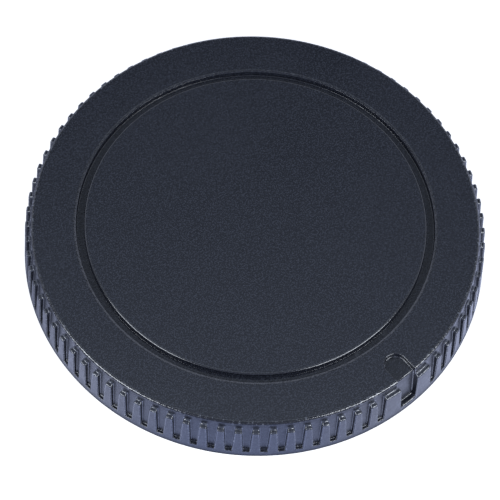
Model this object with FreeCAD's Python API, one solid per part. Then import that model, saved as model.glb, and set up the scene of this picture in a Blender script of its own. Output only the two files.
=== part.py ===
import FreeCAD, Part
import math
import os

# Camera body cap, one moulded piece. Millimetres, +Z up.
# The cap rests on the foot of its skirt: z = 0 is that plane, and the Z axis is the cap's axis.
# The index slot, which lines up with the mark on a camera mount, faces -Y.

# Outer form
foot_radius = 31.0          # outer radius of the skirt at its foot
cap_height = 7.3            # foot of the skirt to the top face
rib_foot_depth = 0.41       # ribs stand this far out from the wall at the foot
wall_lean = 0.67            # the wall comes in this much from the foot to the top face
face_edge_break = 0.2

# Grip ribs round the skirt
grip_divisions = 84         # ribs and gaps are laid out on this many equal steps
index_divisions = 4         # steps taken by the slot and its two wide ribs
rib_lean = 0.27             # the ribs' faces come in this much from the foot to their top
rim_height = 1.3            # plain rim between the ribs and the top face
band_height = 1.15          # plain band below the gaps
rib_top_width = 0.95
rib_foot_width = 1.49

# Index slot in the skirt, and the recess that leads into it from the top face
slot_top_width = 2.98
slot_foot_width = 2.56
slot_depth = 0.38           # the slot is this much deeper than the gaps between ribs
recess_depth = 0.7
recess_length = 3.68        # from the rim to the recess's round end

# Hollow side
plate_thickness = 1.9
skirt_wall = 1.99           # at the foot, behind the ribs
skirt_bore_lean = 0.3       # the bore narrows by this much from the foot to the plate
skirt_lead_in = 0.3
flange_channel = 6.7        # between the skirt and the barrel, round the camera's flange
seat_gap = 2.0              # from the barrel to the raised land that rests on that flange
seat_width = 3.0
seat_height = 0.5
barrel_wall = 1.5
barrel_set_back = 0.8       # the barrel ends this far inside the foot of the skirt
barrel_lead_in = 0.3

# Bayonet lugs on the barrel
lug_count = 3
lug_arc = 52.0              # degrees
lug_set_back = 0.3          # from the barrel's end to the lugs
lug_thickness = 1.3
lug_reach = 1.35            # how far a lug stands out from the barrel
lug_ramp_length = 4.0       # lead-in at the end that enters first
lug_ramp_drop = 0.6
stop_arc = 4.0              # degrees, the block that ends the turn behind the first lug

# Ring groove in the top face, over the barrel's wall
groove_offset = 0.95        # from the barrel's outside to the groove's inner wall
groove_width = 1.07
groove_depth = 0.9
groove_edge_break = 0.12

# Radii and heights that follow
wall_foot_radius = foot_radius - rib_foot_depth
face_radius = wall_foot_radius - wall_lean
rib_top_radius = foot_radius - rib_lean
rib_top_z = cap_height - rim_height
skirt_foot_bore = wall_foot_radius - skirt_wall
skirt_root_bore = skirt_foot_bore - skirt_bore_lean
barrel_radius = skirt_foot_bore - flange_channel
barrel_bore = barrel_radius - barrel_wall
lug_radius = barrel_radius + lug_reach
lug_low_z = barrel_set_back + lug_set_back
lug_high_z = lug_low_z + lug_thickness
seat_inner_radius = barrel_radius + seat_gap
seat_outer_radius = seat_inner_radius + seat_width
floor_z = cap_height - plate_thickness
seat_z = floor_z - seat_height
groove_inner_radius = barrel_radius + groove_offset
groove_outer_radius = groove_inner_radius + groove_width
groove_z = cap_height - groove_depth
recess_z = cap_height - recess_depth

OVERCUT = 2.0               # tools run this far past what they cut
EMBED = 0.4                 # fused pieces reach this far into what carries them


def turned_copy(shape, degrees):
    """A copy of shape turned about the cap's axis."""
    copy = shape.copy()
    copy.rotate(FreeCAD.Vector(0, 0, 0), FreeCAD.Vector(0, 0, 1), degrees)
    return copy


def wall_radius(z):
    """Radius of the wall behind the ribs at height z."""
    return wall_foot_radius + (face_radius - wall_foot_radius) * z / cap_height


def rib_radius(z):
    """Radius of the ribs' outer faces at height z."""
    return foot_radius + (rib_top_radius - foot_radius) * z / rib_top_z


def broken(before, corner, after, size):
    """The two points that stand for a corner once its edge is broken by the given size."""
    points = []
    for other in (before, after):
        length = math.dist(corner, other)
        points.append(tuple(c + (o - c) * size / length for c, o in zip(corner, other)))
    return points


def section(corners):
    """Face in the XZ plane through (radius, z, broken edge) corners."""
    flat = [corner[:2] for corner in corners]
    outline = []
    for i, (radius, z, size) in enumerate(corners):
        if size > 0:
            outline += broken(flat[i - 1], flat[i], flat[(i + 1) % len(flat)], size)
        else:
            outline.append((radius, z))
    points = [FreeCAD.Vector(radius, 0, z) for radius, z in outline]
    return Part.Face(Part.makePolygon(points + points[:1]))


def revolved(corners, degrees=360.0):
    """Solid of revolution about the cap's axis, from the +X side on."""
    return section(corners).revolve(FreeCAD.Vector(0, 0, 0), FreeCAD.Vector(0, 0, 1), degrees)


def sector(corners, start, degrees):
    """Part of a solid of revolution, from the azimuth start on."""
    return turned_copy(revolved(corners, degrees), start)


def radial_prism(outline, inner, outer):
    """Solid with an (x, z) outline that runs from one radius to another on the -Y side."""
    points = [FreeCAD.Vector(x, -inner, z) for x, z in outline]
    face = Part.Face(Part.makePolygon(points + points[:1]))
    return face.extrude(FreeCAD.Vector(0, inner - outer, 0))


def shell():
    """Plate, wall, hollow side and barrel, as one turned section."""
    corners = [
        (0.0, floor_z, 0),
        (barrel_bore, floor_z, 0),
        (barrel_bore, barrel_set_back, 0),
        (barrel_radius, barrel_set_back, barrel_lead_in),
        (barrel_radius, floor_z, 0),
        (seat_inner_radius, floor_z, 0),
        (seat_inner_radius, seat_z, 0),
        (seat_outer_radius, seat_z, 0),
        (seat_outer_radius, floor_z, 0),
        (skirt_root_bore, floor_z, 0),
        (skirt_foot_bore, 0.0, skirt_lead_in),
        (wall_foot_radius, 0.0, 0),
        (face_radius, cap_height, face_edge_break),
        (groove_outer_radius, cap_height, groove_edge_break),
        (groove_outer_radius, groove_z, 0),
        (groove_inner_radius, groove_z, 0),
        (groove_inner_radius, cap_height, groove_edge_break),
        (0.0, cap_height, 0),
    ]
    return revolved(corners)


def grip_band():
    """Ring that the ribs are cut from, as a collar round the wall."""
    corners = [
        (wall_radius(0) - EMBED, 0.0, 0),
        (foot_radius, 0.0, 0),
        (rib_top_radius, rib_top_z, 0),
        (wall_radius(rib_top_z) - EMBED, rib_top_z, 0),
    ]
    return revolved(corners)


def gap_width(rib_width, radius):
    """Width left between two ribs of the given width."""
    return 2 * math.pi * radius / grip_divisions - rib_width


def grip_gaps():
    """One drafted gap between every two ribs, apart from the index group."""
    foot = gap_width(rib_foot_width, rib_radius(band_height)) / 2
    top = gap_width(rib_top_width, rib_top_radius) / 2
    over = top + (top - foot) / (rib_top_z - band_height) * OVERCUT
    outline = [
        (-foot, band_height),
        (foot, band_height),
        (over, rib_top_z + OVERCUT),
        (-over, rib_top_z + OVERCUT),
    ]
    gap = radial_prism(outline, wall_radius(rib_top_z) - OVERCUT, foot_radius + OVERCUT)
    step = 360.0 / grip_divisions
    first = index_divisions // 2
    return [turned_copy(gap, k * step) for k in range(first, grip_divisions - first + 1)]


def index_slot():
    """Drafted slot down the skirt, with a flat back wall that follows the wall's draft."""
    foot_x = slot_foot_width / 2
    top_x = slot_top_width / 2
    foot_y = -(wall_radius(band_height) - slot_depth)
    top_y = -(wall_radius(recess_z) - slot_depth)
    front_y = -(foot_radius + OVERCUT)
    outline = [(-foot_x, band_height), (foot_x, band_height), (top_x, recess_z), (-top_x, recess_z)]
    sides = radial_prism(outline, 0, -front_y)
    profile = [(foot_y, band_height), (front_y, band_height), (front_y, recess_z), (top_y, recess_z)]
    points = [FreeCAD.Vector(-top_x - OVERCUT, y, z) for y, z in profile]
    depth = Part.Face(Part.makePolygon(points + points[:1]))
    return sides.common(depth.extrude(FreeCAD.Vector(slot_top_width + 2 * OVERCUT, 0, 0)))


def index_recess():
    """Round-ended recess in the top face, open at the rim above the slot."""
    half = slot_top_width / 2
    end_y = recess_length - face_radius
    front_y = -(foot_radius + OVERCUT)
    left = FreeCAD.Vector(-half, end_y - half, recess_z)
    right = FreeCAD.Vector(half, end_y - half, recess_z)
    end = FreeCAD.Vector(0, end_y, recess_z)
    front_left = FreeCAD.Vector(-half, front_y, recess_z)
    front_right = FreeCAD.Vector(half, front_y, recess_z)
    edges = [
        Part.Arc(left, end, right).toShape(),
        Part.LineSegment(right, front_right).toShape(),
        Part.LineSegment(front_right, front_left).toShape(),
        Part.LineSegment(front_left, left).toShape(),
    ]
    return Part.Face(Part.Wire(edges)).extrude(FreeCAD.Vector(0, 0, recess_depth + OVERCUT))


def lug():
    """One bayonet lug centred on -Y, with a ramp at the end that enters first."""
    corners = [
        (barrel_radius - EMBED, lug_low_z, 0),
        (lug_radius, lug_low_z, 0),
        (lug_radius, lug_high_z, 0),
        (barrel_radius - EMBED, lug_high_z, 0),
    ]
    ramp_outline = [
        (0.0, lug_high_z),
        (-lug_ramp_length, lug_high_z - lug_ramp_drop),
        (-lug_ramp_length - OVERCUT, lug_high_z - lug_ramp_drop),
        (-lug_ramp_length - OVERCUT, lug_high_z + OVERCUT),
        (0.0, lug_high_z + OVERCUT),
    ]
    ramp = radial_prism(ramp_outline, barrel_radius, lug_radius + OVERCUT)
    ramp_turn = math.degrees(lug_ramp_length / lug_radius) - lug_arc / 2
    return sector(corners, -90 - lug_arc / 2, lug_arc).cut(turned_copy(ramp, ramp_turn))


def turn_stop():
    """Block behind the first lug, from the lug up to the plate."""
    corners = [
        (barrel_radius - EMBED, lug_high_z - EMBED, 0),
        (lug_radius, lug_high_z - EMBED, 0),
        (lug_radius, floor_z + EMBED, 0),
        (barrel_radius - EMBED, floor_z + EMBED, 0),
    ]
    return sector(corners, -90 + lug_arc / 2 - stop_arc, stop_arc)


def body_cap():
    """The whole cap."""
    cap = shell().fuse(grip_band().cut(grip_gaps()))
    cap = cap.cut([index_slot(), index_recess()])
    lugs = [turned_copy(lug(), k * 360.0 / lug_count) for k in range(lug_count)]
    return cap.fuse(lugs + [turn_stop()]).removeSplitter()


os.makedirs("parts", exist_ok=True)
cap = body_cap()
cap.exportStep("parts/body_cap.step")
print("body_cap", cap.isValid(), len(cap.Solids), round(cap.Volume, 2))
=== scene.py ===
import math

import bmesh
import bpy
from mathutils import Matrix, Vector


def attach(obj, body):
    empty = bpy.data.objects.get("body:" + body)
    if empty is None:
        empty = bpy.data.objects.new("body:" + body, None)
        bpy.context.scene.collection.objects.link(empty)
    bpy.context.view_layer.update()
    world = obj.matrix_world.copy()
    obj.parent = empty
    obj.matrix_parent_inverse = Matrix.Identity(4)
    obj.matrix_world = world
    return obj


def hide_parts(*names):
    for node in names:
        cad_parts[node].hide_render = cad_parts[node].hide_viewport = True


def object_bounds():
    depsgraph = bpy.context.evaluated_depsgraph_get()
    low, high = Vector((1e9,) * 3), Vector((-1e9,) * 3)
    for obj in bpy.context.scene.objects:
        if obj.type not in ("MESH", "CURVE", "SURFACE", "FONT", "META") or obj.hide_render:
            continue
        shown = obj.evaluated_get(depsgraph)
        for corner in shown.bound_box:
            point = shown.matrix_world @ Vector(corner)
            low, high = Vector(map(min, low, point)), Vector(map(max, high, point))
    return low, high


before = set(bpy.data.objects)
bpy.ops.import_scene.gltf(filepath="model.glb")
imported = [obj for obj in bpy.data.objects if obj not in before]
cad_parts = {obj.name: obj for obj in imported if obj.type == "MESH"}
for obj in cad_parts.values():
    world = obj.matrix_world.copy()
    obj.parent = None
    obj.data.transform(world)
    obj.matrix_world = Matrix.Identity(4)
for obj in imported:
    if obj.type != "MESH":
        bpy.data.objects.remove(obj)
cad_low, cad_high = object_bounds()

MM = 0.001

# Outer form in millimetres, as in the solid. The outside comes from the bounds of the solid in
# model.glb.
foot_radius = round(cad_high[0] / MM, 3)
cap_height = round(cad_high[2] / MM, 3)
rib_foot_depth = 0.41       # ribs stand this far out from the wall at the foot
wall_lean = 0.67            # the wall comes in this much from the foot to the top face

# Grip ribs round the skirt
grip_divisions = 84         # ribs and gaps are laid out on this many equal steps
index_divisions = 4         # steps taken by the slot and its two wide ribs
rib_lean = 0.27             # the ribs' faces come in this much from the foot to their top
rim_height = 1.3            # plain rim between the ribs and the top face
band_height = 1.15          # plain band below the gaps
rib_top_width = 0.95
rib_foot_width = 1.49

# Index slot in the skirt, and the recess that leads into it from the top face
slot_top_width = 2.98
slot_foot_width = 2.56
slot_depth = 0.38           # the slot is this much deeper than the gaps between ribs
recess_depth = 0.7
recess_length = 3.68        # from the rim to the recess's round end

# Hollow side
plate_thickness = 1.9
skirt_wall = 1.99           # at the foot, behind the ribs
skirt_bore_lean = 0.3       # the bore narrows by this much from the foot to the plate
skirt_lead_in = 0.3
flange_channel = 6.7        # between the skirt and the barrel
seat_gap = 2.0              # from the barrel to the raised land
seat_width = 3.0
seat_height = 0.5
barrel_wall = 1.5
barrel_set_back = 0.8       # the barrel ends this far inside the foot of the skirt
barrel_lead_in = 0.3

# Bayonet lugs on the barrel
lug_count = 3
lug_arc = 52.0              # degrees
lug_set_back = 0.3          # from the barrel's end to the lugs
lug_thickness = 1.3
lug_reach = 1.35            # how far a lug stands out from the barrel
lug_ramp_length = 4.0
lug_ramp_drop = 0.6
stop_arc = 4.0              # degrees, the block behind the first lug

# Ring groove in the top face, over the barrel's wall
groove_offset = 0.95        # from the barrel's outside to the groove's inner wall
groove_width = 1.07
groove_depth = 0.9
groove_lip_width = 0.32     # the shallow bevel along the groove's outer lip
groove_lip_fall = 0.11

# Radii, heights and angles that follow
wall_foot_radius = foot_radius - rib_foot_depth
face_radius = wall_foot_radius - wall_lean
rib_top_radius = foot_radius - rib_lean
rib_top_z = cap_height - rim_height
slot_half_top = slot_top_width / 2
slot_half_foot = slot_foot_width / 2
recess_z = cap_height - recess_depth
recess_end_radius = face_radius - recess_length
skirt_foot_bore = wall_foot_radius - skirt_wall
skirt_root_bore = skirt_foot_bore - skirt_bore_lean
barrel_radius = skirt_foot_bore - flange_channel
barrel_bore = barrel_radius - barrel_wall
seat_inner_radius = barrel_radius + seat_gap
seat_outer_radius = seat_inner_radius + seat_width
floor_z = cap_height - plate_thickness
seat_z = floor_z - seat_height
lug_radius = barrel_radius + lug_reach
lug_low_z = barrel_set_back + lug_set_back
lug_high_z = lug_low_z + lug_thickness
lug_centres = [k * 360.0 / lug_count for k in range(lug_count)]
lug_half_arc = lug_arc / 2
lug_ramp_arc = round(math.degrees(lug_ramp_length / lug_radius), 2)
groove_inner_radius = barrel_radius + groove_offset
groove_outer_radius = groove_inner_radius + groove_width
groove_z = cap_height - groove_depth

# Edge roundings in millimetres. The first is the widest, and the others are set as shares of it.
ROUND_MAX = 0.36
ROUND_RIM = 0.36
ROUND_RIB = 0.2
ROUND_LEDGE = 0.24
ROUND_LEDGE_ROOT = 0.26
ROUND_POCKET_SIDE = 0.09
ROUND_POCKET_FLOOR = 0.14
ROUND_INNER_LIP = 0.28
ROUND_INNER_ROOT = 0.06
ROUND_OUTER_ROOT = 0.18
ROUND_OUTER_LIP = 0.02
ROUND_INDEX = 0.15
ROUND_SLOT_TOP = 0.28
ROUND_SLOT_FOOT = 0.26
ROUND_FOOT = 0.16
ROUND_HIDDEN = 0.15
ROUND_STEPS = 3

# Finishes of the moulded surface, as material slots
TOP, EDGES, RECESS, SKIRT, LIP = range(5)

# How finely the surface is divided
SAME_PLACE = 4              # decimals of a millimetre to which two corners agree
WIDE_RIB_SHARES = (0.52, 0.72)      # columns of a wide rib, between the slot's middle and the first gap
BAND_CUTS = (0.5, -0.5)     # millimetres beside the index, corners of the band below the slot
ARC_STEPS = 16              # along the recess's round end
UNDER_STEP = 3.0            # degrees between columns of the hollow side
UNDER_CLEAR = 0.8           # degrees that these keep from the ends of lugs, ramps and stop
FOOT_PATCHES = 12
FOOT_PATCH_START = 15.0     # degrees


class Skin:
    """Corners, faces and edge roundings of the cap's closed surface."""

    def __init__(self):
        self.points = []
        self.places = {}
        self.faces = []
        self.finishes = []
        self.rounded = {}

    def corner(self, point):
        """Number of the corner at a point. Corners at one place are one corner."""
        key = tuple(round(value, SAME_PLACE) for value in point)
        if key not in self.places:
            self.places[key] = len(self.points)
            self.points.append(point)
        return self.places[key]

    def face(self, *points, finish=TOP):
        """One face through these points, where neighbours at one place count once."""
        ring = []
        for point in points:
            number = self.corner(point)
            if number not in ring:
                ring.append(number)
        self.faces.append(ring)
        self.finishes.append(finish)

    def round_line(self, points, size):
        """Gives the edges along a line of points this rounding."""
        for start, end in zip(points, points[1:]):
            pair = frozenset((self.corner(start), self.corner(end)))
            self.rounded[pair] = size

    def round_ring(self, points, size):
        """Gives the edges round a closed row of points this rounding."""
        self.round_line(points + points[:1], size)

    def make_object(self, name):
        """The surface as a mesh object with its edges rounded."""
        mesh = bpy.data.meshes.new(name)
        mesh.from_pydata([Vector(p) * MM for p in self.points], [], self.faces)
        build = bmesh.new()
        build.from_mesh(mesh)
        bmesh.ops.recalc_face_normals(build, faces=build.faces)
        weight = build.edges.layers.float.new("bevel_weight_edge")
        for edge in build.edges:
            pair = frozenset(vert.index for vert in edge.verts)
            edge[weight] = self.rounded.get(pair, 0.0) / ROUND_MAX
        for face, finish in zip(build.faces, self.finishes):
            face.smooth = True
            face.material_index = finish
        build.to_mesh(mesh)
        build.free()
        made = bpy.data.objects.new(name, mesh)
        bpy.context.scene.collection.objects.link(made)
        bevel = made.modifiers.new("rounding", "BEVEL")
        bevel.limit_method = "WEIGHT"
        bevel.width = ROUND_MAX * MM
        bevel.segments = ROUND_STEPS
        bevel.use_clamp_overlap = False
        bevel.material = EDGES
        made.modifiers.new("flat_normals", "WEIGHTED_NORMAL")
        return made


def wall_radius(z):
    """Radius of the wall behind the ribs at height z."""
    return wall_foot_radius + (face_radius - wall_foot_radius) * z / cap_height


def rib_radius(z):
    """Radius of the ribs' outer faces at height z."""
    return foot_radius + (rib_top_radius - foot_radius) * z / rib_top_z


def gap_half(rib_width, radius):
    """Half the gap between two ribs of this width at a radius, to a thousandth."""
    return round((2 * math.pi * radius / grip_divisions - rib_width) / 2, 3)


def slot_half(z):
    """Half the slot's width at height z."""
    share = (z - band_height) / (recess_z - band_height)
    return slot_half_foot + (slot_half_top - slot_half_foot) * share


def at(radius, degrees, z):
    """Point at a radius, turned this far from the index."""
    turn = math.radians(degrees)
    return (radius * math.sin(turn), -radius * math.cos(turn), z)


def beside(radius, degrees, side, z):
    """Point at a radius, this far to the side of the radial plane at an angle."""
    turn = math.radians(degrees)
    out = math.sqrt(radius ** 2 - side ** 2)
    x = out * math.sin(turn) + side * math.cos(turn)
    y = side * math.sin(turn) - out * math.cos(turn)
    return (x, y, z)


def turn_of(point):
    """Angle of a point from the index, in degrees."""
    return math.degrees(math.atan2(point[0], -point[1]))


def turn_between(start, end):
    """Angle from one direction to another, between -180 and 180 degrees."""
    return (end - start + 180.0) % 360.0 - 180.0


def grip_column(degrees, top_side, foot_side):
    """The corners down the skirt along one edge of a rib."""
    return {
        "rim": beside(face_radius, degrees, top_side, cap_height),
        "wall_top": beside(wall_radius(rib_top_z), degrees, top_side, rib_top_z),
        "rib_top": beside(rib_top_radius, degrees, top_side, rib_top_z),
        "wall_foot": beside(wall_radius(band_height), degrees, foot_side, band_height),
        "rib_foot": beside(rib_radius(band_height), degrees, foot_side, band_height),
        "foot": beside(foot_radius, degrees, foot_side, 0.0),
    }


def slot_column(side):
    """The corners down the skirt along one side of the index slot."""
    column = grip_column(0.0, side * slot_half(rib_top_z), side * slot_half_foot)
    column["rim"] = beside(face_radius, 0.0, side * slot_half_top, cap_height)
    column["wall_mid"] = beside(wall_radius(recess_z), 0.0, side * slot_half_top, recess_z)
    column["back_top"] = (side * slot_half_top, slot_depth - wall_radius(recess_z), recess_z)
    column["back_foot"] = (side * slot_half_foot, slot_depth - wall_radius(band_height), band_height)
    return column


def skirt_columns():
    """All columns round the skirt, from one side of the index slot to the other."""
    step = 360.0 / grip_divisions
    first = index_divisions // 2
    top_side = gap_half(rib_top_width, rib_top_radius)
    foot_side = gap_half(rib_foot_width, rib_radius(band_height))
    wide = [first * step * share for share in WIDE_RIB_SHARES]
    columns = [slot_column(1)] + [grip_column(turn, 0.0, 0.0) for turn in wide]
    for k in range(first, grip_divisions - first + 1):
        columns.append(grip_column(k * step, -top_side, -foot_side))
        columns.append(grip_column(k * step, top_side, foot_side))
    columns += [grip_column(-turn, 0.0, 0.0) for turn in reversed(wide)]
    return columns + [slot_column(-1)]


def add_rib(skin, left, right):
    """Rim, ledge, face and band of a stretch of rib between two columns."""
    rim = [left["rim"], right["rim"]]
    if "wall_mid" in right:
        rim.append(right["wall_mid"])
    rim += [right["wall_top"], left["wall_top"]]
    if "wall_mid" in left:
        rim.append(left["wall_mid"])
    skin.face(*rim, finish=SKIRT)
    skin.face(left["wall_top"], right["wall_top"], right["rib_top"], left["rib_top"])
    skin.face(left["rib_top"], right["rib_top"], right["rib_foot"], left["rib_foot"], finish=SKIRT)
    skin.face(left["rib_foot"], right["rib_foot"], right["foot"], left["foot"], finish=SKIRT)
    skin.round_line([left["wall_top"], right["wall_top"]], ROUND_LEDGE_ROOT)
    skin.round_line([left["rib_top"], right["rib_top"]], ROUND_LEDGE)


def add_gap(skin, left, right):
    """Rim, wall, pocket and band of the gap between two ribs."""
    skin.face(left["rim"], right["rim"], right["wall_top"], left["wall_top"], finish=SKIRT)
    skin.face(left["wall_top"], right["wall_top"], right["wall_foot"], left["wall_foot"], finish=SKIRT)
    skin.face(left["wall_foot"], right["wall_foot"], right["rib_foot"], left["rib_foot"])
    skin.face(left["rib_foot"], right["rib_foot"], right["foot"], left["foot"], finish=SKIRT)
    skin.round_line([left["wall_foot"], right["wall_foot"]], ROUND_POCKET_FLOOR)
    skin.round_line([left["rib_foot"], right["rib_foot"]], ROUND_POCKET_SIDE)
    for column in (left, right):
        skin.face(
            column["wall_top"], column["rib_top"], column["rib_foot"], column["wall_foot"], finish=SKIRT,
        )
        skin.round_line([column["wall_top"], column["rib_top"], column["rib_foot"]], ROUND_RIB)
        skin.round_line([column["rib_foot"], column["wall_foot"], column["wall_top"]], ROUND_POCKET_SIDE)


def add_skirt(skin, columns):
    """Ribs and gaps all round, apart from the index slot itself."""
    first_gap = 1 + len(WIDE_RIB_SHARES)
    for number, (left, right) in enumerate(zip(columns, columns[1:])):
        in_grip = first_gap <= number < len(columns) - 1 - first_gap
        if in_grip and (number - first_gap) % 2 == 0:
            add_gap(skin, left, right)
        else:
            add_rib(skin, left, right)
    skin.round_line([column["rim"] for column in columns], ROUND_RIM)


def recess_line(z):
    """The recess's outline at height z, from the slot's right side round to its left."""
    middle = recess_end_radius + slot_half_top
    line = []
    for k in range(ARC_STEPS + 1):
        turn = math.pi * k / ARC_STEPS
        x = slot_half_top * math.cos(turn)
        line.append((x, slot_half_top * math.sin(turn) - middle, z))
    return line


def add_index_side(skin, column, high, low):
    """One side wall of the recess and of the index slot below it."""
    skin.face(column["rim"], high, low, column["back_top"], column["wall_mid"])
    skin.face(
        column["wall_mid"], column["back_top"], column["back_foot"],
        column["rib_foot"], column["rib_top"], column["wall_top"], finish=SKIRT,
    )
    skin.round_line([column["rim"], column["wall_mid"], column["wall_top"]], ROUND_INDEX)
    skin.round_line([column["wall_top"], column["rib_top"], column["rib_foot"]], ROUND_RIB)
    skin.round_line([column["rib_foot"], column["back_foot"], column["back_top"]], ROUND_INDEX)
    skin.round_line([column["rim"], high], ROUND_INDEX)
    skin.round_line([column["back_top"], low], ROUND_INDEX)


def add_index(skin, right, left):
    """The index slot and the recess that leads into it. Returns the corners of the foot below."""
    upper, lower = recess_line(cap_height), recess_line(recess_z)
    add_index_side(skin, right, upper[0], lower[0])
    add_index_side(skin, left, upper[-1], lower[-1])
    for k in range(ARC_STEPS):
        skin.face(upper[k], upper[k + 1], lower[k + 1], lower[k])
    skin.round_line(upper, ROUND_INDEX)
    skin.round_line(lower, ROUND_INDEX)
    skin.face(right["back_top"], *lower, left["back_top"], finish=RECESS)
    skin.face(right["back_top"], left["back_top"], left["back_foot"], right["back_foot"], finish=SKIRT)
    skin.round_line([right["back_top"], left["back_top"]], ROUND_SLOT_TOP)
    skin.round_line([right["back_foot"], left["back_foot"]], ROUND_INDEX)
    front = [beside(rib_radius(band_height), 0.0, side, band_height) for side in BAND_CUTS]
    front = [right["rib_foot"]] + front + [left["rib_foot"]]
    foot = [beside(foot_radius, 0.0, side, 0.0) for side in BAND_CUTS]
    foot = [right["foot"]] + foot + [left["foot"]]
    skin.face(right["back_foot"], left["back_foot"], *reversed(front))
    skin.round_line(front, ROUND_SLOT_FOOT)
    for k in range(len(front) - 1):
        skin.face(front[k], front[k + 1], foot[k + 1], foot[k], finish=SKIRT)
    return foot


def add_top(skin, columns):
    """The plain face: its rim, the ring groove and the middle."""
    upper = recess_line(cap_height)
    turns = [turn_of(column["rim"]) for column in columns]
    lip_radius = groove_outer_radius + groove_lip_width
    ring = [at(lip_radius, turn, cap_height) for turn in turns]
    for k in range(1, len(columns) - 2):
        skin.face(columns[k]["rim"], columns[k + 1]["rim"], ring[k + 1], ring[k])
    middle = at(lip_radius, 0.0, cap_height)
    skin.face(
        columns[1]["rim"], columns[0]["rim"], *upper, columns[-1]["rim"], columns[-2]["rim"],
        ring[-2], ring[-1], middle, ring[0], ring[1],
    )
    rows = []
    for radius, z, size in (
        (lip_radius, cap_height, ROUND_OUTER_LIP),
        (groove_outer_radius, cap_height - groove_lip_fall, ROUND_OUTER_LIP),
        (groove_outer_radius, groove_z, ROUND_OUTER_ROOT),
        (groove_inner_radius, groove_z, ROUND_INNER_ROOT),
        (groove_inner_radius, cap_height, ROUND_INNER_LIP),
    ):
        row = [at(radius, turn, z) for turn in turns + [0.0]]
        skin.round_ring(row, size)
        rows.append(row)
    add_strip(skin, rows[0], rows[1], LIP)
    add_strips(skin, rows[1:])
    skin.face(*rows[-1])


def add_strip(skin, first, second, finish=TOP):
    """Closed ring of faces between two rows of as many points."""
    count = len(first)
    for k in range(count):
        after = (k + 1) % count
        skin.face(first[k], first[after], second[after], second[k], finish=finish)


def add_strips(skin, rows):
    """Closed rings of faces from each row of points to the next."""
    for first, second in zip(rows, rows[1:]):
        add_strip(skin, first, second)


def add_foot(skin, outer, inner):
    """The flat foot between the skirt's outer edge and its bore."""
    skin.round_ring(outer, ROUND_FOOT)
    skin.round_ring(inner, ROUND_FOOT)
    turns = [FOOT_PATCH_START + k * 360.0 / FOOT_PATCHES for k in range(FOOT_PATCHES)]
    cuts = [(nearest(outer, turn), nearest(inner, turn)) for turn in turns]
    for (a, c), (b, d) in zip(cuts, cuts[1:] + cuts[:1]):
        skin.face(*stretch(outer, a, b), *reversed(stretch(inner, c, d)))


def nearest(row, degrees):
    """Number of the point of a row that is nearest to an angle."""
    return min(range(len(row)), key=lambda k: abs(turn_between(degrees, turn_of(row[k]))))


def stretch(row, start, end):
    """The points of a closed row from one number on to another."""
    if end > start:
        return row[start:end + 1]
    return row[start:] + row[:end + 1]


def under_turns():
    """Angles of the hollow side's columns, with the ends of its lugs, ramps and stop."""
    special = [lug_half_arc - stop_arc]
    for centre in lug_centres:
        special += [centre - lug_half_arc, centre - lug_half_arc + lug_ramp_arc, centre + lug_half_arc]
    special = [turn % 360.0 for turn in special]
    turns = list(special)
    for k in range(round(360.0 / UNDER_STEP)):
        turn = k * UNDER_STEP
        if all(abs(turn_between(other, turn)) > UNDER_CLEAR for other in special):
            turns.append(turn)
    return sorted(turns)


def from_centre(degrees):
    """Angle from the nearest lug's centre."""
    return min((turn_between(centre, degrees) for centre in lug_centres), key=abs)


def lug_top(degrees):
    """Height of a lug's upper side, with its ramp."""
    into = from_centre(degrees) + lug_half_arc
    share = max(0.0, 1.0 - into / lug_ramp_arc)
    return lug_high_z - lug_ramp_drop * share


def stretch_kind(start, end):
    """What stands on the barrel between two columns: nothing, a lug, or a lug with the stop."""
    middle = (start + ((end - start) % 360.0) / 2) % 360.0
    if abs(from_centre(middle)) > lug_half_arc:
        return "bare"
    if lug_half_arc - stop_arc < middle < lug_half_arc:
        return "stop"
    return "lug"


def add_barrel_side(skin, turns):
    """The barrel's outside and the channel's floor beside it, with lugs and the stop."""
    add_stretch = {"bare": add_bare_stretch, "lug": add_lug_stretch, "stop": add_stop_stretch}
    count = len(turns)
    kinds = [stretch_kind(turns[k], turns[(k + 1) % count]) for k in range(count)]
    for k in range(count):
        start, end = turns[k], turns[(k + 1) % count]
        before, after = kinds[k - 1], kinds[(k + 1) % count]
        add_stretch[kinds[k]](skin, (start, before), (end, after))
        if before != kinds[k]:
            add_step(skin, start, {before, kinds[k]})


def barrel_line(degrees, beyond):
    """Corners down the bare barrel at one column, beside a stretch of another kind."""
    heights = [floor_z, lug_low_z]
    if beyond == "lug":
        heights.insert(1, lug_top(degrees))
    return [at(barrel_radius, degrees, z) for z in heights]


def add_bare_stretch(skin, start, end):
    """Bare barrel between two columns, each given as its angle and the kind of stretch beyond it."""
    first, last = barrel_line(*start), barrel_line(*end)
    skin.face(*first, *reversed(last))
    skin.round_line([first[0], last[0]], ROUND_HIDDEN)
    add_channel(skin, start, end, barrel_radius)


def add_lug_end(skin, start, end):
    """A lug's lower side between two columns. Returns its outer edge."""
    turns = (start[0], end[0])
    root = [at(barrel_radius, turn, lug_low_z) for turn in turns]
    tip = [at(lug_radius, turn, lug_low_z) for turn in turns]
    skin.face(*root, *reversed(tip))
    skin.round_line(tip, ROUND_HIDDEN)
    return tip


def add_lug_stretch(skin, start, end):
    """A lug between two columns, and the barrel above it."""
    turns = (start[0], end[0])
    tip = add_lug_end(skin, start, end)
    high = [at(lug_radius, turn, lug_top(turn)) for turn in turns]
    root = [at(barrel_radius, turn, lug_top(turn)) for turn in turns]
    base = [at(barrel_radius, turn, floor_z) for turn in turns]
    for below, above in ((tip, high), (high, root), (root, base)):
        skin.face(*below, *reversed(above))
        skin.round_line(above, ROUND_HIDDEN)
    add_channel(skin, start, end, barrel_radius)


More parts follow.
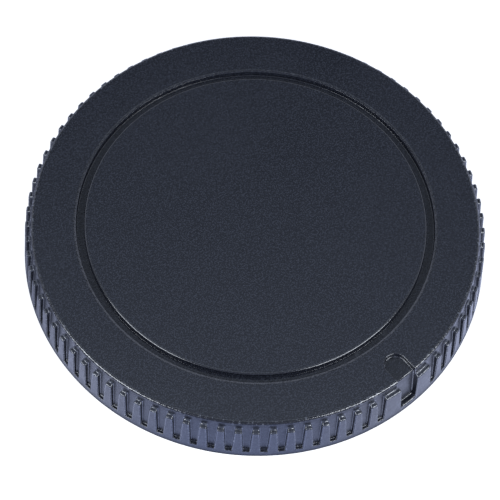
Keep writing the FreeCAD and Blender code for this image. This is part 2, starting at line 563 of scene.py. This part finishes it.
def add_stop_stretch(skin, start, end):
    """A lug with the stop above it, between two columns."""
    tip = add_lug_end(skin, start, end)
    top = [at(lug_radius, turn, floor_z) for turn in (start[0], end[0])]
    outer = [*tip, *reversed(top)]
    turn, beyond = start
    if beyond == "lug":
        outer.append(at(lug_radius, turn, lug_top(turn)))
    skin.face(*outer)
    skin.round_line(top, ROUND_HIDDEN)
    add_channel(skin, start, end, lug_radius)


def add_channel(skin, start, end, inner):
    """The channel's floor between two columns, from the seat to an inner radius."""
    lines = []
    for turn, beyond in (start, end):
        line = [at(seat_inner_radius, turn, floor_z)]
        if beyond == "stop" and inner < lug_radius:
            line.append(at(lug_radius, turn, floor_z))
        lines.append(line + [at(inner, turn, floor_z)])
    skin.face(*lines[0], *reversed(lines[1]))


def add_step(skin, turn, kinds):
    """The end face of a lug or of the stop at one column."""
    low, high = lug_low_z, lug_top(turn)
    if "bare" not in kinds:
        low, high = lug_top(turn), floor_z
    elif "stop" in kinds:
        high = floor_z
    ring = [
        at(barrel_radius, turn, low), at(lug_radius, turn, low),
        at(lug_radius, turn, high), at(barrel_radius, turn, high),
    ]
    skin.face(*ring)
    skin.round_ring(ring, ROUND_HIDDEN)


def hidden_rows(skin, turns, profile):
    """Closed rows of corners of the hollow side, with rounded edges, at (radius, z) points."""
    rows = []
    for radius, z in profile:
        row = [at(radius, turn, z) for turn in turns]
        skin.round_ring(row, ROUND_HIDDEN)
        rows.append(row)
    return rows


def add_under(skin):
    """The hollow side. Returns its row of corners at the inside of the foot."""
    turns = under_turns()
    lead = skirt_lead_in
    rows = hidden_rows(skin, turns, (
        (skirt_foot_bore + lead, 0.0),
        (skirt_foot_bore - lead * skirt_bore_lean / floor_z, lead),
        (skirt_root_bore, floor_z),
        (seat_outer_radius, floor_z),
        (seat_outer_radius, seat_z),
        (seat_inner_radius, seat_z),
        (seat_inner_radius, floor_z),
    ))
    add_strips(skin, rows)
    add_barrel_side(skin, turns)
    ends = hidden_rows(skin, turns, (
        (barrel_radius, lug_low_z),
        (barrel_radius - barrel_lead_in, barrel_set_back),
        (barrel_bore, barrel_set_back),
        (barrel_bore, floor_z),
    ))
    add_strips(skin, ends)
    skin.face(*ends[-1])
    return rows[0]


def cap_surface():
    """The whole cap as one closed mesh object."""
    skin = Skin()
    columns = skirt_columns()
    add_skirt(skin, columns)
    front_foot = add_index(skin, columns[0], columns[-1])
    add_top(skin, columns)
    outer = [column["foot"] for column in columns] + front_foot[-2:0:-1]
    add_foot(skin, outer, add_under(skin))
    return skin.make_object("body_cap_skin")


cap = cap_surface()
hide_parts("body_cap")
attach(cap, "root")


class Nodes:
    """Short calls for building a node tree."""

    def __init__(self, tree):
        self.tree = tree

    def add(self, kind, **settings):
        """A node with these settings."""
        node = self.tree.nodes.new(kind)
        for name, value in settings.items():
            setattr(node, name, value)
        return node

    def link(self, output, target):
        """Links an output to an input socket."""
        self.tree.links.new(output, target)

    def noise(self, vector, scale, detail):
        """Fac output of a noise texture. The scale is per metre."""
        node = self.add("ShaderNodeTexNoise")
        node.inputs["Scale"].default_value = scale
        node.inputs["Detail"].default_value = detail
        self.link(vector, node.inputs["Vector"])
        return node.outputs["Fac"]

    def span(self, value, low, high, to_low, to_high):
        """The value mapped from one range to another, held at its ends."""
        node = self.add("ShaderNodeMapRange")
        self.link(value, node.inputs["Value"])
        node.inputs["From Min"].default_value = low
        node.inputs["From Max"].default_value = high
        node.inputs["To Min"].default_value = to_low
        node.inputs["To Max"].default_value = to_high
        return node.outputs["Result"]

    def math(self, operation, *values):
        """Result of a math node on values or outputs."""
        node = self.add("ShaderNodeMath", operation=operation)
        for socket, value in zip(node.inputs, values):
            if isinstance(value, (int, float)):
                socket.default_value = value
            else:
                self.link(value, socket)
        return node.outputs["Value"]

    def length(self, vector):
        """Length of a vector output."""
        node = self.add("ShaderNodeVectorMath", operation="LENGTH")
        self.link(vector, node.inputs[0])
        return node.outputs["Value"]

    def along(self, vector, direction):
        """How far a vector output reaches along a direction."""
        node = self.add("ShaderNodeVectorMath", operation="DOT_PRODUCT")
        self.link(vector, node.inputs[0])
        node.inputs[1].default_value = direction
        return node.outputs["Value"]

    def height(self, vector):
        """Z of a vector output."""
        node = self.add("ShaderNodeSeparateXYZ")
        self.link(vector, node.inputs["Vector"])
        return node.outputs["Z"]

    def blend(self, share, first, second):
        """Colour between two, each a colour or an output."""
        node = self.add("ShaderNodeMix", data_type="RGBA")
        self.link(share, node.inputs[0])
        for socket, value in ((node.inputs[6], first), (node.inputs[7], second)):
            if isinstance(value, tuple):
                socket.default_value = (*value, 1.0)
            else:
                self.link(value, socket)
        return node.outputs[2]


# Moulded plastic: its colours and gloss
PLASTIC_DARK = (0.0106, 0.0121, 0.0189)
PLASTIC_LIGHT = (0.042, 0.047, 0.064)
SPECK = (0.45, 0.46, 0.50)
# pale flecks on edges far out: partly wear, partly painted glints
SCUFF_AND_GLINT = (0.150, 0.160, 0.190)
# painted light: the ledges over the ribs are lighter than the shade that falls under the rim
PAINTED_LEDGE_LIGHT = (0.048, 0.053, 0.069)
PLASTIC_IOR = 1.65
EDGE_IOR = 2.15
ROUGHNESS_SPREAD = 0.04         # the coarse pattern changes the roughness by this much
CLOUD_ROUGHNESS = 0.02

# Its patterns. Scales are per metre, and ranges are values of the pattern.
GRAIN_SCALE, GRAIN_DETAIL = 5500.0, 0.0
COARSE_SCALE, FINE_SCALE, COARSE_DETAIL = 1300.0, 2600.0, 2.0
CLOUD_SCALE, CLOUD_DETAIL = 60.0, 3.0
SPECK_SCALE = 260.0
MIDDLE_RANGE = (0.3, 0.7)
LIGHT_RANGE = (0.52, 0.64)      # the grain turns from dark to light here
GRAIN_SHARE, CLOUD_SHARE = 0.95, 0.05
SCUFF_AND_GLINT_RANGE = (0.58, 0.68)
SPECK_EDGE = (0.02, 0.06)       # a speck's edge, from the middle of its cell
SPECK_CHOICE = (0.86, 0.89)     # only cells with more red than this hold a speck
BUMP_DEPTH = 0.00008            # metres
GRAIN_HEIGHT = 0.3              # of the coarse pattern's height

# Edges. The ledges over the ribs get painted light, lighter than the shade under the rim. Edges that lie
# far out carry scuffs, as those of the skirt and the recess, and the groove's do not. Their pale flecks
# are partly wear and partly painted glints.
LEDGE_LOW, LEDGE_HIGH = 5.6, 6.3            # millimetres up
LEDGE_FADE = 0.1
FAR_OUT_FROM, FAR_OUT_FULL = 25.6, 26.6     # millimetres from the middle of the foot, where scuffs and painted glints begin
GROOVE_GRAIN = 0.15                         # the bump's strength inside that


def mottled(nodes, grain, cloud, tone):
    """The plastic's own colour, mottled by the grain and faintly by wide clouds."""
    by_grain = nodes.span(grain, *LIGHT_RANGE, 0.0, GRAIN_SHARE)
    by_cloud = nodes.span(cloud, *MIDDLE_RANGE, 0.0, CLOUD_SHARE)
    dark = tuple(value * tone for value in PLASTIC_DARK)
    light = tuple(value * tone for value in PLASTIC_LIGHT)
    return nodes.blend(nodes.math("ADD", by_grain, by_cloud), dark, light)


def scuffs_and_painted_light(nodes, place, coarse, far_out, body):
    """The colour with painted light on the ledges over the ribs, and pale flecks far out, partly scuffs
    and partly painted glints.
    """
    height = nodes.height(place)
    over = nodes.span(height, (LEDGE_LOW - LEDGE_FADE) * MM, LEDGE_LOW * MM, 0.0, 1.0)
    under = nodes.span(height, LEDGE_HIGH * MM, (LEDGE_HIGH + LEDGE_FADE) * MM, 1.0, 0.0)
    # painted light: a band at the ledges' height is lighter, over the shade under the rim
    body = nodes.blend(nodes.math("MULTIPLY", over, under), body, PAINTED_LEDGE_LIGHT)
    # pale flecks along the edges far out: partly scuffs, partly painted glints
    scuff_and_glint = nodes.math("MULTIPLY", far_out, nodes.span(coarse, *SCUFF_AND_GLINT_RANGE, 0.0, 1.0))
    return nodes.blend(scuff_and_glint, body, SCUFF_AND_GLINT)


def specks(nodes, place):
    """Share of the pale specks, small dots in the middle of a few cells."""
    cells = nodes.add("ShaderNodeTexVoronoi")
    cells.inputs["Scale"].default_value = SPECK_SCALE
    nodes.link(place, cells.inputs["Vector"])
    colour = nodes.add("ShaderNodeSeparateColor")
    nodes.link(cells.outputs["Color"], colour.inputs["Color"])
    near_middle = nodes.span(cells.outputs["Distance"], *SPECK_EDGE, 1.0, 0.0)
    chosen = nodes.span(colour.outputs["Red"], *SPECK_CHOICE, 0.0, 1.0)
    return nodes.math("MULTIPLY", near_middle, chosen)


def plastic(
    name, bump_strength, roughness, tone=1.0, ior=PLASTIC_IOR, coarse_scale=COARSE_SCALE, edge=False,
):
    """Moulded black plastic: fine spark-eroded grain with pale specks. An edge has scuffs as well,
    partly wear and partly painted glints, and painted light on its ledges over the ribs.
    """
    material = bpy.data.materials.new(name)
    material.use_nodes = True
    nodes = Nodes(material.node_tree)
    shader = material.node_tree.nodes["Principled BSDF"]
    shader.inputs["IOR"].default_value = ior
    bump = nodes.add("ShaderNodeBump")
    bump.inputs["Strength"].default_value = bump_strength
    bump.inputs["Distance"].default_value = BUMP_DEPTH
    place = nodes.add("ShaderNodeTexCoord").outputs["Object"]
    grain = nodes.noise(place, GRAIN_SCALE, GRAIN_DETAIL)
    coarse = nodes.noise(place, coarse_scale, COARSE_DETAIL)
    cloud = nodes.noise(place, CLOUD_SCALE, CLOUD_DETAIL)
    body = mottled(nodes, grain, cloud, tone)
    if edge:
        far_out = nodes.span(nodes.length(place), FAR_OUT_FROM * MM, FAR_OUT_FULL * MM, 0.0, 1.0)
        body = scuffs_and_painted_light(nodes, place, coarse, far_out, body)
        nodes.link(nodes.span(far_out, 0.0, 1.0, GROOVE_GRAIN, bump_strength), bump.inputs["Strength"])
    nodes.link(nodes.blend(specks(nodes, place), body, SPECK), shader.inputs["Base Color"])
    smoothest, roughest = roughness - ROUGHNESS_SPREAD, roughness + ROUGHNESS_SPREAD
    by_coarse = nodes.span(coarse, *MIDDLE_RANGE, smoothest, roughest)
    by_cloud = nodes.span(cloud, *MIDDLE_RANGE, -CLOUD_ROUGHNESS, CLOUD_ROUGHNESS)
    nodes.link(nodes.math("ADD", by_coarse, by_cloud), shader.inputs["Roughness"])
    relief = nodes.math("ADD", coarse, nodes.math("MULTIPLY", grain, GRAIN_HEIGHT))
    nodes.link(relief, bump.inputs["Height"])
    nodes.link(bump.outputs["Normal"], shader.inputs["Normal"])
    return material


# In the order of the slots: top, edges, recess, skirt, lip
FINISHES = (
    {"name": "cap_plastic", "bump_strength": 0.10, "roughness": 0.27, "coarse_scale": FINE_SCALE},
    # painted shade: the roundings are a darker copy of the plastic, tone 0.45, so the creases and the
    # lines along the edges are darker
    {"name": "cap_plastic_edges", "bump_strength": 0.6, "roughness": 0.21, "tone": 0.45,
     "ior": EDGE_IOR, "coarse_scale": FINE_SCALE, "edge": True},
    # the recess floor is smoother, and darker by tone 0.75, partly as its finish and partly as painted
    # shade of the recess
    {"name": "cap_plastic_recess", "bump_strength": 0.05, "roughness": 0.27, "tone": 0.75},
    {"name": "cap_plastic_skirt", "bump_strength": 0.4, "roughness": 0.34},
    {"name": "cap_plastic_lip", "bump_strength": 0.9, "roughness": 0.21, "tone": 0.6,
     "ior": EDGE_IOR, "coarse_scale": FINE_SCALE},
)
for finish in FINISHES:
    cap.data.materials.append(plastic(**finish))


# Camera, in millimetres and degrees
CAMERA_PLACE = (-126.391, -130.562, 317.425)
CAMERA_AIM = (-0.530, 0.236, 0.0)
CAMERA_ROLL = 3.5817
CAMERA_LENS = 194.4
CAMERA_CLIP = 20.0
CAMERA_TURN = math.degrees(math.atan2(CAMERA_PLACE[0], -CAMERA_PLACE[1]))


def add_camera():
    """The camera at the photograph's viewing angle."""
    data = bpy.data.cameras.new("camera")
    data.lens = CAMERA_LENS
    data.clip_start = CAMERA_CLIP * MM
    camera = bpy.data.objects.new("camera", data)
    bpy.context.scene.collection.objects.link(camera)
    place, aim = Vector(CAMERA_PLACE) * MM, Vector(CAMERA_AIM) * MM
    forward = (aim - place).normalized()
    level = forward.cross(Vector((0, 0, 1))).normalized()
    upright = level.cross(forward)
    roll = math.radians(CAMERA_ROLL)
    right = level * math.cos(roll) + upright * math.sin(roll)
    up = right.cross(forward)
    turn = Matrix((right, up, -forward)).transposed()
    camera.matrix_world = Matrix.Translation(place) @ turn.to_4x4()
    bpy.context.scene.camera = camera


def away_from_object(turn, elevation):
    """Direction from the object, turned this far to the camera's right, at an elevation."""
    a, e = math.radians(CAMERA_TURN + turn), math.radians(elevation)
    return Vector((math.sin(a) * math.cos(e), -math.cos(a) * math.cos(e), math.sin(e)))


TO_THE_RIGHT = away_from_object(90.0, 0.0)
STRAIGHT_BEHIND = away_from_object(180.0, 0.0)
WHITE = (1.0, 1.0, 1.0)

# Lamps, in metres and watts
LAMP_COLOUR = (0.86, 0.92, 1.0)
LAMP_SIZE = (0.28, 0.13)
LAMP_DISTANCE = 0.40


def add_lamp(name, turn, elevation, power):
    """A soft oblong lamp, turned this far to the camera's right, that faces the object."""
    data = bpy.data.lights.new(name, "AREA")
    data.shape = "RECTANGLE"
    data.size, data.size_y = LAMP_SIZE
    data.energy = power
    data.color = LAMP_COLOUR
    lamp = bpy.data.objects.new(name, data)
    bpy.context.scene.collection.objects.link(lamp)
    away = away_from_object(turn, elevation)
    lamp.location = away * LAMP_DISTANCE
    lamp.rotation_mode = "QUATERNION"
    lamp.rotation_quaternion = away.to_track_quat("Z", "Y")


# Floor. Its own look, and how white it is to the camera from near the object to far off
FLOOR_RADIUS = 6.0                          # metres
FLOOR_SIDES = 64
FLOOR_COLOUR = (0.95, 0.95, 0.95)
FLOOR_ROUGHNESS = 0.9
FLOOR_SHINE = 0.1
FLOOR_NEAR, FLOOR_FAR = 0.10, 0.9           # metres from the axis
FLOOR_GLOW = 0.70                           # added near the object, and 1 far off

# What the object mirrors of the floor, in front of it and at its sides
MIRRORED_FRONT = (0.78, 0.93, 1.58)
MIRRORED_SIDE = (1.08, 1.20, 1.70)
SIDE_FROM, SIDE_FULL = 0.2, 0.6             # sines of the angle from the camera's side
CONTACT_FROM, CONTACT_TO = 31.0, 31.4       # millimetres from the axis, where the foot shades the floor
DIM_FROM, DIM_FULL = 35.0, 42.0             # millimetres from the axis, where the rest gets dim
DIM_SHARE = 0.25
BRIGHT_FROM, BRIGHT_FULL = 0.75, 0.95       # sines, where it gets less dim at the sides
BRIGHT_SHARE = 0.55
LEFT_FROM, LEFT_FULL = -0.78, -0.97         # sines, where all of it is dimmer at the far left
LEFT_SHARE = 0.45


def mirrored_floor(nodes, place, away):
    """Light of the floor as the object mirrors it. away is the distance from the axis."""
    sine = nodes.math("DIVIDE", nodes.along(place, TO_THE_RIGHT), away)
    sideways = nodes.math("ABSOLUTE", sine)
    to_side = nodes.span(sideways, SIDE_FROM, SIDE_FULL, 0.0, 1.0)
    contact = nodes.span(away, CONTACT_FROM * MM, CONTACT_TO * MM, 0.0, 1.0)
    dim = nodes.span(away, DIM_FROM * MM, DIM_FULL * MM, 1.0, DIM_SHARE)
    bright = nodes.span(sideways, BRIGHT_FROM, BRIGHT_FULL, 0.0, BRIGHT_SHARE)
    shade = nodes.math("MULTIPLY", contact, nodes.math("MAXIMUM", dim, bright))
    left = nodes.span(sine, LEFT_FULL, LEFT_FROM, LEFT_SHARE, 1.0)
    mirrored = nodes.add("ShaderNodeEmission")
    nodes.link(nodes.blend(to_side, MIRRORED_FRONT, MIRRORED_SIDE), mirrored.inputs["Color"])
    nodes.link(nodes.math("MULTIPLY", shade, left), mirrored.inputs["Strength"])
    return mirrored.outputs["Emission"]


def floor_material():
    """Pale floor that keeps shadows. Away from the object it is white to the camera."""
    material = bpy.data.materials.new("floor")
    material.use_nodes = True
    nodes = Nodes(material.node_tree)
    shader = material.node_tree.nodes["Principled BSDF"]
    shader.inputs["Base Color"].default_value = (*FLOOR_COLOUR, 1.0)
    shader.inputs["Roughness"].default_value = FLOOR_ROUGHNESS
    shader.inputs["Specular IOR Level"].default_value = FLOOR_SHINE
    shader.inputs["Emission Color"].default_value = (*WHITE, 1.0)
    path = nodes.add("ShaderNodeLightPath")
    place = nodes.add("ShaderNodeTexCoord").outputs["Object"]
    away = nodes.length(place)
    glow = nodes.span(away, FLOOR_NEAR, FLOOR_FAR, FLOOR_GLOW, 1.0)
    glow = nodes.math("MULTIPLY", path.outputs["Is Camera Ray"], glow)
    nodes.link(glow, shader.inputs["Emission Strength"])
    mixed = nodes.add("ShaderNodeMixShader")
    nodes.link(path.outputs["Is Glossy Ray"], mixed.inputs["Fac"])
    nodes.link(shader.outputs["BSDF"], mixed.inputs[1])
    nodes.link(mirrored_floor(nodes, place, away), mixed.inputs[2])
    nodes.link(mixed.outputs["Shader"], material.node_tree.nodes["Material Output"].inputs["Surface"])
    return material


def add_floor():
    """A wide flat floor under the object."""
    mesh = bpy.data.meshes.new("floor")
    build = bmesh.new()
    bmesh.ops.create_circle(build, cap_ends=True, segments=FLOOR_SIDES, radius=FLOOR_RADIUS)
    build.to_mesh(mesh)
    build.free()
    floor = bpy.data.objects.new("floor", mesh)
    bpy.context.scene.collection.objects.link(floor)
    floor.data.materials.append(floor_material())


# Surroundings. In ranges without a comment, 1 is level and straight behind the object, and -1 is
# level and on the camera's side.
SKY_CEILING = (0.69, 0.78, 0.95)
SKY_MIDDLE = (0.03, 0.035, 0.04)
SKY_FRONT = (0.16, 0.18, 0.26)
SKY_HORIZON = (0.50, 0.55, 0.69)
FRONT_FROM, FRONT_FULL = 0.1, -0.3
BEHIND_FROM, BEHIND_FULL = -0.1, 0.3
OVERHEAD_FROM, OVERHEAD_FULL = 0.0, 0.3
CEILING_FROM, CEILING_FULL = 0.855, 0.9     # sines of elevation
HORIZON_TO, HORIZON_FULL = 0.68, 0.33       # sines of elevation
SIDE_LIFT = 0.32                            # the horizon reaches this much higher at the sides


def add_world():
    """White to the camera. To the object it is pale behind it, low down and overhead, and else dim."""
    world = bpy.data.worlds.new("studio")
    bpy.context.scene.world = world
    world.use_nodes = True
    nodes = Nodes(world.node_tree)
    background = world.node_tree.nodes["Background"]
    direction = nodes.add("ShaderNodeTexCoord").outputs["Generated"]
    height = nodes.height(direction)
    backwards = nodes.along(direction, STRAIGHT_BEHIND)
    sideways = nodes.math("ABSOLUTE", nodes.along(direction, TO_THE_RIGHT))
    behind = nodes.span(backwards, BEHIND_FROM, BEHIND_FULL, 0.0, 1.0)
    lifted = nodes.math("SUBTRACT", height, nodes.math("MULTIPLY", sideways, SIDE_LIFT))
    horizon = nodes.math("MULTIPLY", behind, nodes.span(lifted, HORIZON_FULL, HORIZON_TO, 1.0, 0.0))
    front = nodes.span(backwards, FRONT_FULL, FRONT_FROM, 1.0, 0.0)
    overhead = nodes.span(backwards, OVERHEAD_FROM, OVERHEAD_FULL, 0.0, 1.0)
    overhead = nodes.math("MULTIPLY", overhead, nodes.span(height, CEILING_FROM, CEILING_FULL, 0.0, 1.0))
    sky = nodes.blend(front, SKY_MIDDLE, SKY_FRONT)
    sky = nodes.blend(overhead, sky, SKY_CEILING)
    sky = nodes.blend(horizon, sky, SKY_HORIZON)
    seen = nodes.add("ShaderNodeLightPath").outputs["Is Camera Ray"]
    nodes.link(nodes.blend(seen, sky, WHITE), background.inputs["Color"])


add_camera()
add_floor()
add_world()
add_lamp("lamp_left", turn=-56.0, elevation=32.0, power=0.72)
add_lamp("lamp_right", turn=56.0, elevation=33.0, power=0.82)
bpy.context.scene.view_settings.view_transform = "Standard"
